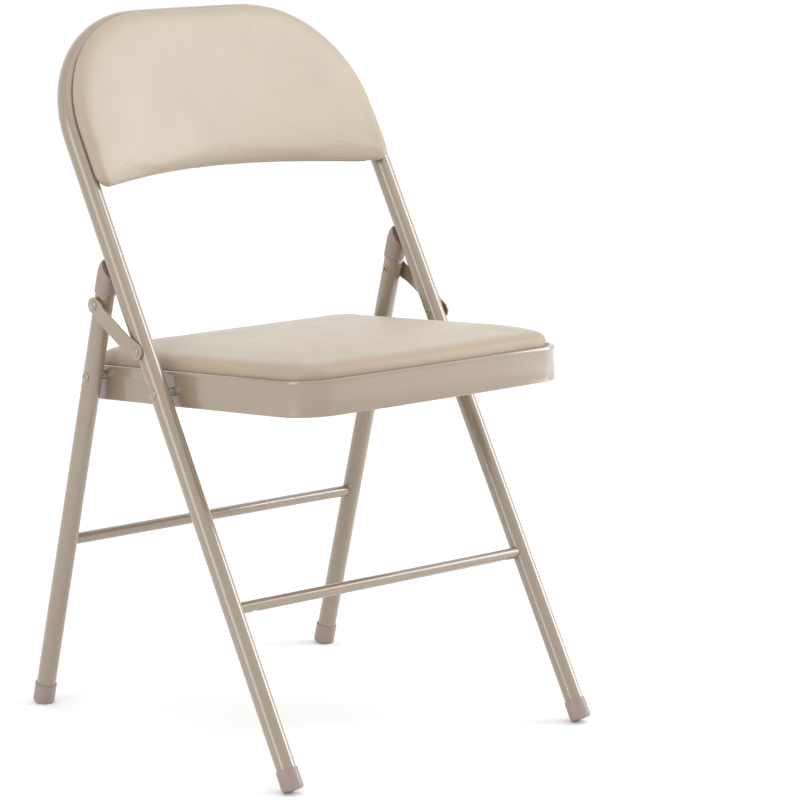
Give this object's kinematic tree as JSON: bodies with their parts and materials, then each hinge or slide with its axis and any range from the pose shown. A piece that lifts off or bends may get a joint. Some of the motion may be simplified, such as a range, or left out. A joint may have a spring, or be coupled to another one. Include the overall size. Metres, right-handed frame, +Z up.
{
  "type": "folding chair",
  "caption": "Folding chair with a bent steel tube frame, a vinyl padded seat and backrest, and coupled rear legs that fold flat.",
  "frame": {"origin": "on the floor, at the middle of the open chair's bounding box", "axes": "+Z up, +X to the sitter's left, the sitter faces -Y"},
  "size_m": [0.47, 0.4845, 0.783],
  "materials": {
    "powder_coat": "semi-gloss beige powder coat",
    "vinyl": "fine-grained pale beige vinyl",
    "cap_plastic": "satin grey-beige plastic",
    "hardboard": "raw hardboard",
    "zinc_plate": "bright zinc plate"
  },
  "bodies": {
    "front_frame": {"front_frame": "powder_coat", "front_crossbar": "powder_coat", "front_foot_cap_left": "cap_plastic", "front_foot_cap_right": "cap_plastic", "backrest_pad": "vinyl", "backrest_board": "hardboard", "backrest_panel": "powder_coat", "backrest_screw_1": "zinc_plate", "backrest_screw_2": "zinc_plate", "backrest_screw_3": "zinc_plate", "backrest_screw_4": "zinc_plate", "seat_pivot_rivet_left": "powder_coat", "seat_pivot_rivet_right": "powder_coat", "seat_pivot_spacer_left": "zinc_plate", "seat_pivot_spacer_right": "zinc_plate", "link_low_rivet_left": "powder_coat", "link_low_rivet_right": "powder_coat"},
    "seat": {"seat_pan": "powder_coat", "seat_board": "hardboard", "seat_cushion": "vinyl", "seat_screw_1": "zinc_plate", "seat_screw_2": "zinc_plate", "seat_screw_3": "zinc_plate", "seat_screw_4": "zinc_plate", "leg_pivot_rivet_left": "powder_coat", "leg_pivot_rivet_right": "powder_coat", "leg_pivot_spacer_left": "zinc_plate", "leg_pivot_spacer_right": "zinc_plate"},
    "rear_legs": {"rear_leg_left": "powder_coat", "rear_leg_right": "powder_coat", "rear_crossbar": "powder_coat", "rear_foot_cap_left": "cap_plastic", "rear_foot_cap_right": "cap_plastic", "rear_leg_top_cap_left": "cap_plastic", "rear_leg_top_cap_right": "cap_plastic", "link_high_bush_left": "powder_coat", "link_high_bush_right": "powder_coat"},
    "link_left": {"link_left": "powder_coat", "link_high_rivet_left": "powder_coat"},
    "link_right": {"link_right": "powder_coat", "link_high_rivet_right": "powder_coat"}
  },
  "joints": [
    {"name": "seat_fold", "type": "hinge", "parent": "front_frame", "child": "seat", "pos_m": [0, 0.00284, 0.39428], "axis": [-1, 0, 0], "range_deg": [0, 106.5]},
    {"name": "rear_leg_fold", "type": "hinge", "parent": "seat", "child": "rear_legs", "pos_m": [0, 0.12032, 0.39374], "axis": [1, 0, 0], "range_deg": [0, 63.2]},
    {"name": "link_fold_left", "type": "hinge", "parent": "front_frame", "child": "link_left", "pos_m": [0, 0.02897, 0.4375], "axis": [-1, 0, 0], "range_deg": [0, 128.7]},
    {"name": "link_fold_right", "type": "hinge", "parent": "front_frame", "child": "link_right", "pos_m": [0, 0.02897, 0.4375], "axis": [-1, 0, 0], "range_deg": [0, 128.7]}
  ],
  "couplings": [
    {"joint": "rear_leg_fold", "follows": "seat_fold", "ratio": 0.59286},
    {"joint": "link_fold_left", "follows": "seat_fold", "ratio": 1.2076},
    {"joint": "link_fold_right", "follows": "seat_fold", "ratio": 1.2076}
  ]
}
